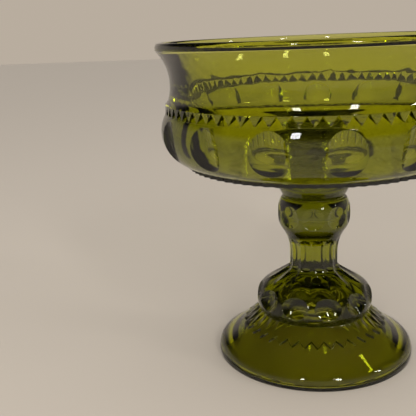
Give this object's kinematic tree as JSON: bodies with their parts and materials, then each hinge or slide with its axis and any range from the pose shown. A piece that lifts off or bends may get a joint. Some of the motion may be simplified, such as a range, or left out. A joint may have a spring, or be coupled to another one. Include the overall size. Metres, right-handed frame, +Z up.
{
  "type": "footed compote bowl",
  "caption": "Thick-walled round glass bowl with a flared rim and a printed band, on a knopped stem with a hollow flared foot.",
  "frame": {"origin": "Centre of the foot's underside, on the surface that the compote stands on.", "axes": "+Z is up, along the axis of the bowl, stem and foot. +X and +Y are level. The picture was taken from the -Y side, from a little above the rim."},
  "size_m": [0.152, 0.152, 0.16],
  "materials": {
    "green_glass": "gloss"
  },
  "bodies": {
    "root": {"bowl": "green_glass", "collar": "green_glass", "stem": "green_glass", "foot": "green_glass"}
  },
  "joints": []
}
